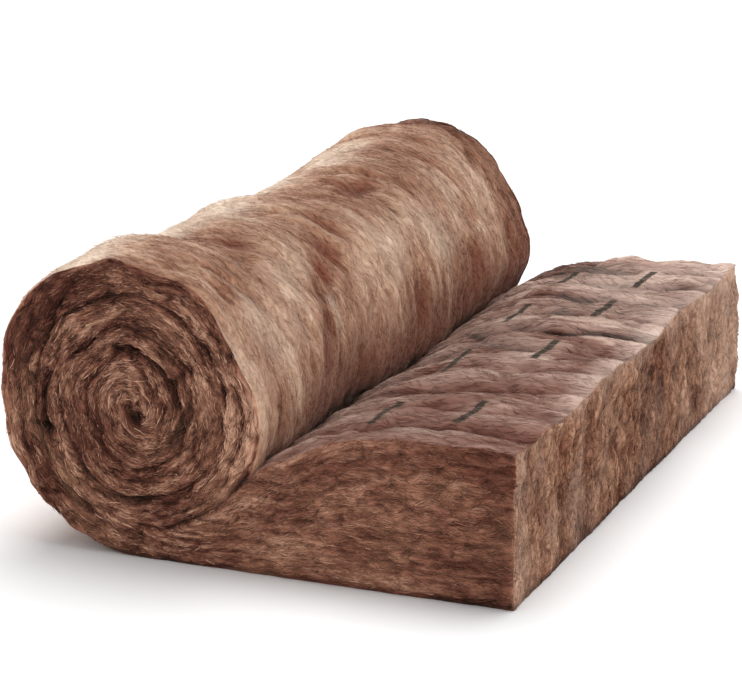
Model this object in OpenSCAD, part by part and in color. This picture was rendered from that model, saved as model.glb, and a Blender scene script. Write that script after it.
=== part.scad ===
// Insulation roll: one blanket of mineral wool, wound into a roll with its free end laid out flat.
// The blanket runs along the floor as a thick flap, passes under the roll and winds clockwise to the eye.
// X runs along the flap, Y along the axis of the roll, Z up. The origin is on the floor, under the middle.

/* [Blanket] */
// Width of the blanket, along the axis of the roll
blanket_width = 1200; // [400:10:1500]
// Thickness of the wool that lies free and has regained its loft
loft = 225; // [180:5:280]
// How far each soft edge of the blanket is rounded in from its face
lip_width = 13; // [6:1:16]
// How deep each soft edge of the blanket is rounded in from its side
lip_depth = 20; // [17:1:40]

/* [Roll] */
// Radius of the outermost quarter turn, from the floor to its centre
roll_radius = 224; // [190:1:300]
// Thickness of one compressed turn of the roll
turn_thickness = 48; // [40:1:64]
// Smallest radius that the winding reaches at its eye
eye_radius = 20; // [18:1:60]

/* [Flap] */
// Distance from the middle of the roll to the cut end of the flap
flap_run = 581; // [500:1:1500]
// Height above the floor of the crease between the roll and the flap
crease_height = 128; // [100:1:160]
// Distance from the side of the roll to where the flap has its full loft
regain_run = 225; // [150:1:280]

/* [Folds] */
// Distance between two folds in the top of the flap
fold_spacing = 112; // [80:1:200]
// Width of a fold where it is widest
fold_width = 50; // [30:1:60]
// Depth of a fold on the level part of the flap
fold_depth = 15; // [8:1:18]
// Distance from the side of the roll to where the folds begin
fold_clear = 45; // [30:1:60]

/* [Hidden] */
$fn = 96;

// The winding is drawn as quarter circles. Each centre steps a quarter of a turn's thickness
// towards the point where the quarter before it ended, so the arcs join without a kink.
quarter_step = turn_thickness / 4;
last_quarter = floor((roll_radius - eye_radius) / quarter_step);
inner_quarter = 3; // the first quarter that lies inside the roll, above the flap

full_length = roll_radius + flap_run;
roll_x = roll_radius - full_length / 2;
flap_end = full_length / 2;
side_y = blanket_width / 2;
ease = 1; // how far a cutter reaches past the face that it starts from
front = -1;
back = 1;

function quarter_radius(k) = roll_radius - k * quarter_step;
function quarter_start(k) = -90 - 90 * k; // quarter 0 runs clockwise from the floor to the left
function quarter_centre(k) = [
    roll_x - (k % 4 == 1 || k % 4 == 2 ? quarter_step : 0),
    roll_radius + (k % 4 >= 2 ? quarter_step : 0)
];

// The flap's top is level, then falls along one arc to the crease on the roll's inner quarter.
crease_drop = quarter_centre(inner_quarter)[1] - crease_height;
crease_x = roll_x + sqrt(pow(quarter_radius(inner_quarter), 2) - pow(crease_drop, 2));
level_x = roll_x + quarter_radius(inner_quarter) + regain_run;
shoulder_fall = loft - crease_height;
shoulder_radius = (pow(level_x - crease_x, 2) + pow(shoulder_fall, 2)) / (2 * shoulder_fall);
shoulder_centre = [level_x, loft - shoulder_radius];
shoulder_angle = asin((level_x - crease_x) / shoulder_radius);

// A fold is a round valley along the flap. It follows an arc that is flatter than the shoulder,
// so that it rises out of the shoulder before it reaches the roll.
fold_radius = (pow(fold_width / 2, 2) + pow(fold_depth, 2)) / (2 * fold_depth);
fold_run = regain_run - fold_clear;
fold_arc_radius = 1 / (1 / shoulder_radius - 2 * fold_depth / pow(fold_run, 2));
fold_reach = fold_run + fold_clear / 3; // how far its cutter runs on above the shoulder
fold_angle = asin(fold_reach / (fold_arc_radius + fold_radius));
fold_count = floor((blanket_width - 2 * lip_depth - fold_width) / fold_spacing) + 1;

// A soft edge is an arc that leaves the face at lip_depth and meets the side lip_width away.
lip_radius = (pow(lip_width, 2) + pow(lip_depth, 2)) / (2 * lip_width);
pinch = 0.05; // how far the two arcs of a slit overlap at its bottom

// Stands a drawing made in X and Z upright, extruded over the width of the blanket
module across_width() {
    translate([0, side_y, 0])
        rotate([90, 0, 0])
            linear_extrude(blanket_width)
                children();
}

// The part of the roll that quarter k bounds
module quarter_sector(k) {
    translate(quarter_centre(k))
        rotate(quarter_start(k) - 90)
            intersection() {
                circle(quarter_radius(k));
                square(quarter_radius(k) + ease);
            }
}

// The roll as seen from its end: its outer quarters, with the middle closed
module roll_outline() {
    for (k = [0 : inner_quarter])
        quarter_sector(k);
    translate(quarter_centre(1))
        square(quarter_step);
}

// The flap as seen from its side: level at its cut end, and falling along an arc into the roll
module flap_outline() {
    translate([level_x, 0])
        square([flap_end - level_x, loft]);
    intersection() {
        translate(shoulder_centre)
            circle(shoulder_radius);
        translate([roll_x, 0])
            square([level_x - roll_x, loft]);
    }
    polygon([
        [roll_x, 0],
        [crease_x, 0],
        [crease_x - quarter_step, crease_height],
        quarter_centre(inner_quarter)
    ]);
}

// Section of the hollow between two soft edges, open upwards, with its bottom where they touch
module lip_section() {
    difference() {
        translate([-lip_width, -lip_depth])
            square([2 * lip_width, lip_depth + ease]);
        for (side = [-1, 1])
            translate([side * (lip_radius - pinch), -lip_depth])
                circle(lip_radius);
    }
}

// Hollow along an arc of the winding, on the front or the back of the blanket
module arc_lip(side, centre, radius, start, sweep) {
    translate([centre[0], side * side_y, centre[1]])
        rotate([90, 0, 0])
            rotate(start)
                rotate_extrude(angle = sweep)
                    translate([radius, 0])
                        rotate(side == front ? 0 : 180)
                            lip_section();
}

// Hollow along a level edge of the flap, from a given place to its cut end, on the front or the back
module level_lip(side, from_x, height) {
    translate([from_x, side * side_y, height])
        rotate([90, 0, 0])
            rotate([90, 0, 90])
                linear_extrude(flap_end - from_x + ease)
                    rotate(side == front ? 0 : 180)
                        lip_section();
}

// Valley in the top of the flap, at a given place across its width
module fold(y) {
    translate([level_x, y, loft - fold_depth - fold_arc_radius])
        rotate([90, 0, 0])
            rotate(90)
                rotate_extrude(angle = fold_angle)
                    translate([fold_arc_radius + fold_radius, 0])
                        circle(fold_radius);
    translate([level_x, y, loft - fold_depth + fold_radius])
        rotate([0, 90, 0])
            cylinder(h = flap_end - level_x + ease, r = fold_radius);
}

module wool_blanket() {
    color([0.52, 0.36, 0.29])
        difference() {
            across_width() {
                roll_outline();
                flap_outline();
            }
            for (side = [front, back]) {
                for (k = [0 : last_quarter])
                    arc_lip(side, quarter_centre(k), quarter_radius(k), quarter_start(k) - 90, 90);
                arc_lip(side, shoulder_centre, shoulder_radius, 90, shoulder_angle);
                level_lip(side, level_x, loft);
                level_lip(side, roll_x, 0);
            }
            for (i = [0 : fold_count - 1])
                fold((i - (fold_count - 1) / 2) * fold_spacing);
        }
}

wool_blanket();
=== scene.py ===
# %% [markdown]
# # A roll of wool insulation
# One thick blanket of brown mineral wool lies on a pale floor. Most of it is still wound into a roll, and
# its free end is laid out flat as a springy flap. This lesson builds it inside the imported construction
# frame: first the closed form of the blanket, then its lumps and folds, then the wool itself as colour,
# relief and loose fibres.

import math

import bpy
import numpy as np
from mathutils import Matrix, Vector, noise
from mathutils.bvhtree import BVHTree


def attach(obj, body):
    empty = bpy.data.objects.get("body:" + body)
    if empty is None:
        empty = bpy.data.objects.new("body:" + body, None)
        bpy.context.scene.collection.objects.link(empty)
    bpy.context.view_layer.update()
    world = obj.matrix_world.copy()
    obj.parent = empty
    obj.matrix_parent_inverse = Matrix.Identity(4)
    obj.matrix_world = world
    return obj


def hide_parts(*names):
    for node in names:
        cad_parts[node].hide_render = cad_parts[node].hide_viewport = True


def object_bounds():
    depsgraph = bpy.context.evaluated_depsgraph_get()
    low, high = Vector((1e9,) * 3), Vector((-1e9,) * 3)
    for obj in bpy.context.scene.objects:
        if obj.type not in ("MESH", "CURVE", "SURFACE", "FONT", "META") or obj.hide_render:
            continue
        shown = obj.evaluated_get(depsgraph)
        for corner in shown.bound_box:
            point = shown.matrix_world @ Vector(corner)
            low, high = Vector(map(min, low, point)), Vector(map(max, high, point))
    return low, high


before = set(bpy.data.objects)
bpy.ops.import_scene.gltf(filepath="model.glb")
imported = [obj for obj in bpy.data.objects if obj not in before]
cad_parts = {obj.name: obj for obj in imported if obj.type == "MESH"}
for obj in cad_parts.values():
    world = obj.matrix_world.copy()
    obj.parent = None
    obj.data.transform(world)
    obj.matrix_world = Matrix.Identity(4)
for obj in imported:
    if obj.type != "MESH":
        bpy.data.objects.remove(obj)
cad_low, cad_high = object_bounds()
print("construction box", [round(c, 3) for c in cad_low], [round(c, 3) for c in cad_high])

# %% [markdown]
# ## Camera, floor and light
# The blanket lies in a bright, plain studio, and a long lens looks down on it from the right. Three suns
# reach only the wool: a wide one from above the flap, a low one from the left that grazes the upper edge of
# the roll, and a soft one from the front that opens the shade on its end. A fourth reaches only the floor.
# So the floor can be white and a little overexposed, with a soft contact shadow, while the wool keeps its
# browns. A photographer does the same with flags that keep a lamp off one part of the picture.

# %% Camera
CAMERA_PLACE = Vector((1.5305, -3.872, 1.339))
CAMERA_TARGET = Vector((-0.0588, 0.0, 0.1883))
CAMERA_LENS = 128.03
SENSOR_WIDTH = 36.0

bpy.ops.object.camera_add(location=CAMERA_PLACE)
camera = bpy.context.object
camera.rotation_euler = (CAMERA_TARGET - CAMERA_PLACE).to_track_quat("-Z", "Y").to_euler()
camera.data.lens = CAMERA_LENS
camera.data.sensor_width = SENSOR_WIDTH
bpy.context.scene.camera = camera
print("camera", round((CAMERA_TARGET - CAMERA_PLACE).length, 3), "m from its target")

# %% Floor
FLOOR_SIZE = 60
FLOOR_WHITE = (0.92, 0.92, 0.92, 1)
FLOOR_ROUGHNESS = 0.9

bpy.ops.mesh.primitive_plane_add(size=FLOOR_SIZE)
floor = bpy.context.object
floor.name = "floor"
white = bpy.data.materials.new("floor_white")
white.use_nodes = True
white_shader = white.node_tree.nodes["Principled BSDF"]
white_shader.inputs["Base Color"].default_value = FLOOR_WHITE
white_shader.inputs["Roughness"].default_value = FLOOR_ROUGHNESS
floor.data.materials.append(white)
print("floor", FLOOR_SIZE, "m wide")

# %% Lights
SKY_WHITE = (1.0, 1.0, 1.0, 1)
SKY_STRENGTH = 0.55

wool_pieces = bpy.data.collections.new("wool_pieces")
stage_pieces = bpy.data.collections.new("stage_pieces")
stage_pieces.objects.link(floor)


def add_sun(name, towards, strength, spread, lit):
    """A sun along a direction, as wide in the sky as spread says, in degrees, for one collection only."""
    bpy.ops.object.light_add(type="SUN", rotation=Vector(towards).to_track_quat("-Z", "Y").to_euler())
    sun = bpy.context.object
    sun.name = name
    sun.data.energy = strength
    sun.data.angle = math.radians(spread)
    sun.light_linking.receiver_collection = lit


add_sun("sky_light", (-0.60, 0.00, -0.80), strength=1.42, spread=80, lit=wool_pieces)
add_sun("rim_light", (0.90, -0.30, -0.28), strength=3.8, spread=25, lit=wool_pieces)
add_sun("front_fill", (-0.25, 0.90, -0.30), strength=1.8, spread=60, lit=wool_pieces)
add_sun("floor_light", (0.04, -0.31, -0.95), strength=2.6, spread=50, lit=stage_pieces)

world = bpy.data.worlds.new("studio")
world.use_nodes = True
background = world.node_tree.nodes["Background"]
background.inputs["Color"].default_value = SKY_WHITE
background.inputs["Strength"].default_value = SKY_STRENGTH
bpy.context.scene.world = world
bpy.context.scene.view_settings.view_transform = "Standard"
print("floor, four suns and a white sky")

# %% [markdown]
# ## The closed form of the blanket
# A roll is a strip that is wound on itself, so its end is modelled the way it was wound. One thin column of
# the strip is a plane. It is extruded along the floor into the flap, and spun quarter turn by quarter turn
# into the roll. Each quarter's centre moves by a quarter of the strip's thickness, so the strip always
# lands on the turn outside it, and the two share their points. The end is then copied to the far side and
# the two rims are bridged.

# %% Sizes of the winding
# The strip: how thick it is wound, how thick it lies free, and how far from the roll it has its full loft
TURN = 0.048
LOFT = 0.225
REGAIN_RUN = 0.225
STEP = TURN / 4
ROLL_RADIUS = (cad_high.z + STEP) / 2
ROLL_X = cad_low.x + ROLL_RADIUS
FRONT, BACK = cad_low.y, cad_high.y
FLAP_END = cad_high.x
# The winding: its first quarter inside the roll, its quarters of full thickness, and all of them
INNER_QUARTER = 3
WHOLE_QUARTERS = 14
ALL_QUARTERS = 18
# The mesh: columns in a quarter, the one where roll and flap part, rows in the strip, slices in the width
COLUMNS = 60
CREASE_COLUMN = 37
ROWS = 10
FLAP_ROWS = 4
SLICES = 158
HAIR = 1e-6


def quarter_radius(k):
    return ROLL_RADIUS - k * STEP


def quarter_centre(k):
    return Vector((ROLL_X - STEP * (k % 4 in (1, 2)), FRONT, ROLL_RADIUS + STEP * (k % 4 in (2, 3))))


INNER_RADIUS = quarter_radius(INNER_QUARTER)
INNER_CENTRE_Z = quarter_centre(INNER_QUARTER).z
crease_angle = math.radians(90 / COLUMNS * CREASE_COLUMN)
CREASE_X = ROLL_X + INNER_RADIUS * math.sin(crease_angle)
CREASE_Z = INNER_CENTRE_Z - INNER_RADIUS * math.cos(crease_angle)
LEVEL_X = ROLL_X + INNER_RADIUS + REGAIN_RUN
shoulder_fall = LOFT - CREASE_Z
SHOULDER_RADIUS = ((LEVEL_X - CREASE_X) ** 2 + shoulder_fall ** 2) / (2 * shoulder_fall)


def flap_height(x):
    """Height of the blanket's top at x: under the roll, on the shoulder, or level."""
    x = np.asarray(x, float)
    arc = np.clip(INNER_RADIUS ** 2 - (x - ROLL_X) ** 2, 0, None)
    under = INNER_CENTRE_Z - np.sqrt(arc)
    fall = np.clip(LEVEL_X - x, 0, SHOULDER_RADIUS)
    shoulder = LOFT - SHOULDER_RADIUS + np.sqrt(SHOULDER_RADIUS ** 2 - fall ** 2)
    return np.where(x < CREASE_X + HAIR, under, shoulder)


print("crease at", round(CREASE_X, 4), round(CREASE_Z, 4), "shoulder radius", round(SHOULDER_RADIUS, 3))


# %% Helpers for selecting by place
def mesh_numbers(items, name, width=1, kind=float):
    """One number, or a row of numbers, of every item of a mesh."""
    values = np.empty(len(items) * width, kind)
    items.foreach_get(name, values)
    return values.reshape(-1, width) if width > 1 else values


def places(obj):
    return mesh_numbers(obj.data.vertices, "co", 3)


def edge_points(obj):
    return mesh_numbers(obj.data.edges, "vertices", 2, int)


def edit(obj, points=None, edges=None):
    """Enters edit mode with only the given points or edges selected."""
    if bpy.context.mode != "OBJECT":
        bpy.ops.object.mode_set(mode="OBJECT")
    bpy.context.tool_settings.mesh_select_mode = (edges is None, edges is not None, False)
    mesh = obj.data
    mesh.polygons.foreach_set("select", np.zeros(len(mesh.polygons), bool))
    mesh.edges.foreach_set("select", np.zeros(len(mesh.edges), bool) if edges is None else edges)
    chosen = np.zeros(len(mesh.vertices), bool) if points is None else points
    if edges is not None:
        chosen[edge_points(obj)[edges].ravel()] = True
    mesh.vertices.foreach_set("select", chosen)
    bpy.ops.object.mode_set(mode="EDIT")


def done():
    bpy.ops.object.mode_set(mode="OBJECT")


# %% The first column of the strip
FLAP_COLUMN = 0.006
EVEN_ROWS = 0.35

bpy.ops.object.select_all(action="DESELECT")
column_x = [
    ROLL_X + INNER_RADIUS * math.sin(math.radians(90 / COLUMNS * j)) for j in range(CREASE_COLUMN + 1)]
flap_columns = round((FLAP_END - CREASE_X) / FLAP_COLUMN)
column_x += [CREASE_X + (FLAP_END - CREASE_X) * j / flap_columns for j in range(1, flap_columns + 1)]

first_width = column_x[1] - column_x[0]
first_middle = ROLL_X + first_width / 2
bpy.ops.mesh.primitive_plane_add(size=1, rotation=(math.pi / 2, 0, 0))
blanket = bpy.context.object
blanket.name = "blanket"
blanket.location = (first_middle, FRONT, TURN / 2)
blanket.scale = (first_width, TURN, 1)
bpy.ops.object.transform_apply(location=True, rotation=True, scale=True)

upright = np.ptp(places(blanket)[edge_points(blanket)][:, :, 2], axis=1) > TURN / 2
edit(blanket, edges=upright)
bpy.ops.mesh.subdivide(number_cuts=ROWS - 1)
done()
for vertex in blanket.data.vertices:
    share = vertex.co.z / TURN
    soft = 0.5 - 0.5 * math.cos(math.pi * share)
    vertex.co.z = TURN * (EVEN_ROWS * share + (1 - EVEN_ROWS) * soft)
print("first column:", len(blanket.data.polygons), "rows")

# %% The flap
start_height = float(flap_height(column_x[1]))
edit(blanket, points=places(blanket)[:, 0] > first_middle)
bpy.ops.transform.resize(value=(1, 1, start_height / TURN), center_override=(0, 0, 0))
for this_x, next_x in zip(column_x[1:-1], column_x[2:]):
    taller = float(flap_height(next_x) / flap_height(this_x))
    bpy.ops.mesh.extrude_region_move(TRANSFORM_OT_translate={"value": (next_x - this_x, 0, 0)})
    bpy.ops.transform.resize(value=(1, 1, taller), center_override=(0, 0, 0))
done()

ends_x = places(blanket)[edge_points(blanket)][:, :, 0]
standing = (np.ptp(ends_x, axis=1) < HAIR) & (ends_x.min(axis=1) > first_middle)
edit(blanket, edges=standing)
bpy.ops.mesh.subdivide(number_cuts=FLAP_ROWS - 1)
done()
print("flap side:", len(column_x) - 1, "columns,", len(blanket.data.polygons), "faces")

# %% The winding
SHARED_POINTS = 2e-5

edit(blanket, points=places(blanket)[:, 0] < ROLL_X + HAIR)
for k in range(WHOLE_QUARTERS):
    bpy.ops.mesh.spin(steps=COLUMNS, angle=math.pi / 2, center=quarter_centre(k), axis=(0, -1, 0))
bpy.ops.mesh.select_all(action="SELECT")
bpy.ops.mesh.remove_doubles(threshold=SHARED_POINTS)
done()
print("winding:", len(blanket.data.polygons), "faces")

# %% The eye, closed by shrinking rings
EYE = (quarter_centre(WHOLE_QUARTERS) + quarter_centre(WHOLE_QUARTERS + 2)) / 2
EYE_REACH = 1.5 * TURN
EYE_RINGS = (0.8, 0.78, 0.74, 0.68, 0.6, 0.5)

edge_count = np.bincount(
    mesh_numbers(blanket.data.loops, "edge_index", kind=int), minlength=len(blanket.data.edges))
middle = places(blanket)[edge_points(blanket)].mean(axis=1)
in_eye = np.hypot(middle[:, 0] - EYE.x, middle[:, 2] - EYE.z) < EYE_REACH
edit(blanket, edges=(edge_count == 1) & in_eye)
for ring in EYE_RINGS:
    bpy.ops.mesh.extrude_edges_move()
    bpy.ops.transform.resize(value=(ring, 1, ring), center_override=EYE)
bpy.ops.mesh.merge(type="CENTER")
done()
print("front end:", len(blanket.data.polygons), "faces")

# %% Through the width
edit(blanket, points=np.ones(len(blanket.data.vertices), bool))
bpy.ops.mesh.duplicate_move(TRANSFORM_OT_translate={"value": (0, BACK - FRONT, 0)})
bpy.ops.mesh.flip_normals()
bpy.ops.mesh.select_mode(type="EDGE")
bpy.ops.mesh.select_non_manifold(
    extend=False, use_wire=False, use_boundary=True, use_multi_face=False,
    use_non_contiguous=False, use_verts=False)
bpy.ops.mesh.bridge_edge_loops(number_cuts=SLICES - 1, interpolation="LINEAR")
bpy.ops.mesh.select_all(action="SELECT")
bpy.ops.mesh.normals_make_consistent(inside=False)
done()
blanket.data.calc_loop_triangles()
print("closed form:", len(blanket.data.polygons), "faces,", len(blanket.data.loop_triangles), "triangles")


# %% The same faces in each run
# Blender may number the faces of the ends in another order each time, and the fibres below are drawn by
# these numbers. So the faces are sorted by their newest points, and each starts at its oldest one.
def from_oldest(face):
    start = face.index(min(face))
    return face[start:] + face[:start]


def newest_first(face):
    return sorted(face, reverse=True)


form_points = places(blanket).tolist()
faces = [tuple(face.vertices) for face in blanket.data.polygons]
end_faces = np.flatnonzero(np.abs(mesh_numbers(blanket.data.polygons, "normal", 3)[:, 1]) > 0.5)
for i, face in zip(end_faces, sorted((from_oldest(faces[i]) for i in end_faces), key=newest_first)):
    faces[i] = face
blanket.data.clear_geometry()
blanket.data.from_pydata(form_points, [], faces)
print("sorted", len(end_faces), "faces of the ends")

# %% [markdown]
# ## Which way the wool lies
# Wool is felted in layers, and its streaks follow the blanket: round the roll, along the flap, and up and
# down its cut end. So each face corner gets grain coordinates: how far it lies along the fibres, how far
# across them, and a number for its region. Lumps, colours and fibres all read them. A second map lays the
# regions side by side, so that a texture can be baked without cutting the surface into crumbs.

# %% Regions
UNDER, ROLL_END, FLAP_SIDE, CUT, INNER, OUTER = range(6)
REGION_NAMES = ("under", "roll_end", "flap_side", "cut", "inner", "outer")
NEAR = 1e-3
TOUCHING = 1e-4

mesh = blanket.data
centres = mesh_numbers(mesh.polygons, "center", 3)
normals = mesh_numbers(mesh.polygons, "normal", 3)
cx, cy, cz = centres.T
is_end = np.abs(normals[:, 1]) > 0.5
faces_down = normals[:, 2] < -0.7
faces_up = normals[:, 2] > 0.3
on_flap = (cx > ROLL_X) & (cz < flap_height(cx) + NEAR)
on_top = (cx > CREASE_X) & (np.abs(cz - flap_height(cx)) < NEAR)
region = np.where(is_end, np.where(on_flap, FLAP_SIDE, ROLL_END), OUTER)
region[~is_end & (cz < TOUCHING) & faces_down] = UNDER
region[~is_end & (cx > FLAP_END - TOUCHING)] = CUT
region[(region == OUTER) & on_top & faces_up] = INNER
print("faces in each region:", dict(zip(REGION_NAMES, np.bincount(region).tolist())))

# %% Quarters of the winding
SLACK = 1e-5


def quarter_place(k, x, z):
    """Angle travelled in quarter k, in radians, and the distance from its centre."""
    centre = quarter_centre(k)
    across, up = x - centre.x, z - centre.z
    turned = math.radians(-90 - 90 * k) - np.arctan2(up, across)
    return (turned + math.pi) % (2 * math.pi) - math.pi, np.hypot(across, up)


quarter = np.full(len(region), -1)
wound = (region == ROLL_END) | (region == OUTER)
for k in range(ALL_QUARTERS):
    angle, radius = quarter_place(k, cx, cz)
    fits = (angle > -SLACK) & (angle < math.pi / 2) & (radius < quarter_radius(k) + SLACK)
    fits &= (radius > quarter_radius(k) - TURN) | (k >= WHOLE_QUARTERS)
    quarter[fits & (quarter < 0) & wound] = k
print("faces in the outermost and the last quarter:", (quarter == 0).sum(), (quarter == quarter.max()).sum())

# %% Grain coordinates
FRONT_SEED, BACK_SEED = 10, 20
SEED_STEP = 3.7
QUARTER_START = [
    math.pi / 2 * sum(quarter_radius(i) - TURN / 2 for i in range(k)) for k in range(ALL_QUARTERS)]

corner_point = mesh_numbers(mesh.loops, "vertex_index", kind=int)
corner_face = np.repeat(np.arange(len(region)), mesh_numbers(mesh.polygons, "loop_total", kind=int))
point = places(blanket)
corner = point[corner_point]
corner_region = region[corner_face]
corner_quarter = quarter[corner_face]


def grain_of(place, kind, which):
    """Grain coordinates (along, across, seed) of places on given regions and quarters."""
    x, y, z = place.T
    along, across = x - ROLL_X, y.copy()
    for k in range(ALL_QUARTERS):
        here = which == k
        angle, radius = quarter_place(k, x[here], z[here])
        along[here] = -QUARTER_START[k] - angle * (quarter_radius(k) - TURN / 2)
        across[here] = np.where(kind[here] == ROLL_END, quarter_radius(k) - radius, y[here])
    side = kind == FLAP_SIDE
    swollen = TURN + (LOFT - TURN) * np.clip((x[side] - ROLL_X) / REGAIN_RUN, 0, 1)
    across[side] = swollen * z[side] / flap_height(x[side])
    along[kind == CUT] = z[kind == CUT]
    at_end = (kind == ROLL_END) | (kind == FLAP_SIDE)
    seed = np.where(at_end, np.where(y > 0, BACK_SEED, FRONT_SEED), kind)
    return np.stack([along, across, SEED_STEP * seed], axis=1)


grain = grain_of(corner, corner_region, corner_quarter)
mesh.attributes.new("grain", "FLOAT_VECTOR", "CORNER").data.foreach_set("vector", grain.ravel())
print("grain runs from", round(grain[:, 0].min(), 2), "to", round(grain[:, 0].max(), 2), "m")

# %% A map for baking
# The outer face fills the left column of the map, the others stand above each other on the right
WIDTH = BACK - FRONT
ATLAS_WIDE = 2 * WIDTH + 0.03
ATLAS_EDGE = 0.002
RIGHT_COLUMN = WIDTH + 0.02
UNDER_ROW, CUT_ROW, END_ROW = 0.46, 1.07, 1.36
FRONT_END_COLUMN, BACK_END_COLUMN = 0.42, 1.25


def end_spot(p, g):
    return np.where(p[:, 1] > 0, BACK_END_COLUMN, FRONT_END_COLUMN) + p[:, 0], END_ROW + p[:, 2]


spot_rules = {
    OUTER: lambda p, g: (p[:, 1] - FRONT, -g[:, 0]),
    INNER: lambda p, g: (RIGHT_COLUMN + p[:, 1] - FRONT, p[:, 0] - CREASE_X),
    UNDER: lambda p, g: (RIGHT_COLUMN + p[:, 1] - FRONT, UNDER_ROW + p[:, 0] - ROLL_X),
    CUT: lambda p, g: (RIGHT_COLUMN + p[:, 1] - FRONT, CUT_ROW + p[:, 2]),
    ROLL_END: end_spot,
    FLAP_SIDE: end_spot,
}
atlas = np.empty((len(corner), 2))
for kind, rule in spot_rules.items():
    here = corner_region == kind
    atlas[here] = np.stack(rule(corner[here], grain[here]), axis=1) / ATLAS_WIDE
atlas = np.clip(atlas, ATLAS_EDGE, 1 - ATLAS_EDGE)
mesh.uv_layers.new(name="OFBake").uv.foreach_set("vector", atlas.ravel())
print("bake map reaches", atlas.min(axis=0).round(3), atlas.max(axis=0).round(3))

# %% [markdown]
# ## Lumps, folds and slits
# Nothing on a wool blanket is straight. Cloth simulation would give it a skin, which it doesn't have, so
# its lumps are sculpted in code instead. Every point is pushed along its normal by noise that is stretched
# along the grain: long folds, locks of fibre and fine layers. The slits between the turns sink into the
# ends. Three numbers are kept with each point for the colours: how deep it lies in a hollow, with painted
# shade and light added to it, whether its wool is reddish or bleached, with painted shade and highlights
# added to it, and how strongly its streaks show.

# %% Noise along the grain
NOISE_SEED = 2
NOISE_GAIN = 1.6

noise.seed_set(NOISE_SEED)
point_region = np.zeros(len(point), int)
point_grain = np.zeros((len(point), 3))
point_quarter = np.full(len(point), -1)
for kind in range(len(REGION_NAMES)):
    here = corner_region == kind
    point_region[corner_point[here]] = kind
    point_grain[corner_point[here]] = grain[here]
    point_quarter[corner_point[here]] = corner_quarter[here]
along, across, seed = point_grain.T
x, y, z = point.T


def field(long, wide, shift, lean=0.0):
    """Smooth noise from about -1 to 1 at every point, in blobs of a given length and width."""
    spots = np.stack([along / long, (across + lean * along) / wide, seed + shift], axis=1)
    return np.fromiter((noise.noise(spot) for spot in spots.tolist()), float, len(spots)) * NOISE_GAIN


def vectors(size, shift):
    """Smooth random vectors at every point, about as long as one at most, in blobs of a given size."""
    return np.array([noise.noise_vector(spot) for spot in (point / size + shift).tolist()])


def crease(values, reach):
    """One where values are zero, falling off smoothly on both sides."""
    return np.exp(-(values / reach) ** 2)


def smooth_step(values, low, high):
    """Nought up to low, one from high on, and smooth in between."""
    share = np.clip((values - low) / (high - low), 0, 1)
    return share * share * (3 - 2 * share)


def fade(values, low, high):
    """One up to low, nought from high on, and smooth in between."""
    return 1 - smooth_step(values, low, high)


def on(kind):
    return point_region == kind


print(len(point), "points to sculpt")

# %% Slits between the turns
SLIT_DEPTH = 0.013
SLIT_HALF_WIDTH = 0.0045
FAR = 1.0

outermost = (point_quarter >= 0) & (point_quarter < INNER_QUARTER)
in_eye_turn = point_quarter >= WHOLE_QUARTERS
to_outer_turn = np.where(outermost, FAR, across)
to_inner_turn = np.where(in_eye_turn, FAR, np.abs(TURN - across))
slit_distance = np.full(len(point), FAR)
slit_distance[on(ROLL_END)] = np.minimum(to_outer_turn, to_inner_turn)[on(ROLL_END)]
under_roll = on(FLAP_SIDE) & (x < CREASE_X)
slit_distance[under_roll] = (flap_height(x) - z)[under_roll]
broken_up = np.clip(0.6 + 0.9 * field(long=0.05, wide=0.2, shift=30), 0.1, 1.6)
tight = 1 - 0.60 * smooth_step(point_quarter, 5, 10)
slits = SLIT_DEPTH * crease(slit_distance, SLIT_HALF_WIDTH) * broken_up * tight
print("deepest slit", round(slits.max() * 1000, 1), "mm")

# %% Layers, locks and folds on every side
layers = field(long=0.075, wide=0.0085, shift=0)
clumps = field(long=0.03, wide=0.014, shift=40)
swell = field(long=0.14, wide=0.05, shift=50)
locks = field(long=0.045, wide=0.018, shift=60, lean=0.20)
folds = field(long=0.30, wide=0.085, shift=70, lean=0.10)
wrinkles = field(long=0.16, wide=0.034, shift=75)
pillows = field(long=0.18, wide=0.12, shift=80)
matted = crease(field(long=0.07, wide=0.020, shift=45), 0.14)

# Each region's relief: how high each pattern stands, in metres
relief_parts = {
    ROLL_END: ((0.003, layers), (0.004, clumps), (0.005, swell), (-0.006, matted), (-1, slits)),
    OUTER: ((0.0035, locks), (0.009, pillows), (-0.006, crease(folds, 0.10))),
    CUT: ((0.003, locks), (0.005, clumps), (0.005, pillows), (-0.004, crease(folds, 0.20))),
}
relief_parts[FLAP_SIDE] = relief_parts[ROLL_END]
push = np.zeros(len(point))
for kind, parts in relief_parts.items():
    for height, pattern in parts:
        push[on(kind)] += height * pattern[on(kind)]
print("relief from", round(push.min() * 1000, 1), "to", round(push.max() * 1000, 1), "mm")

# %% Folds in the flap's top
FOLD_SPACING = 0.112
FOLD_COUNT = 10
FOLD_DEPTH = 0.015
FOLD_REACH = 0.017
FOLD_START = ROLL_X + INNER_RADIUS + 0.045

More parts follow.
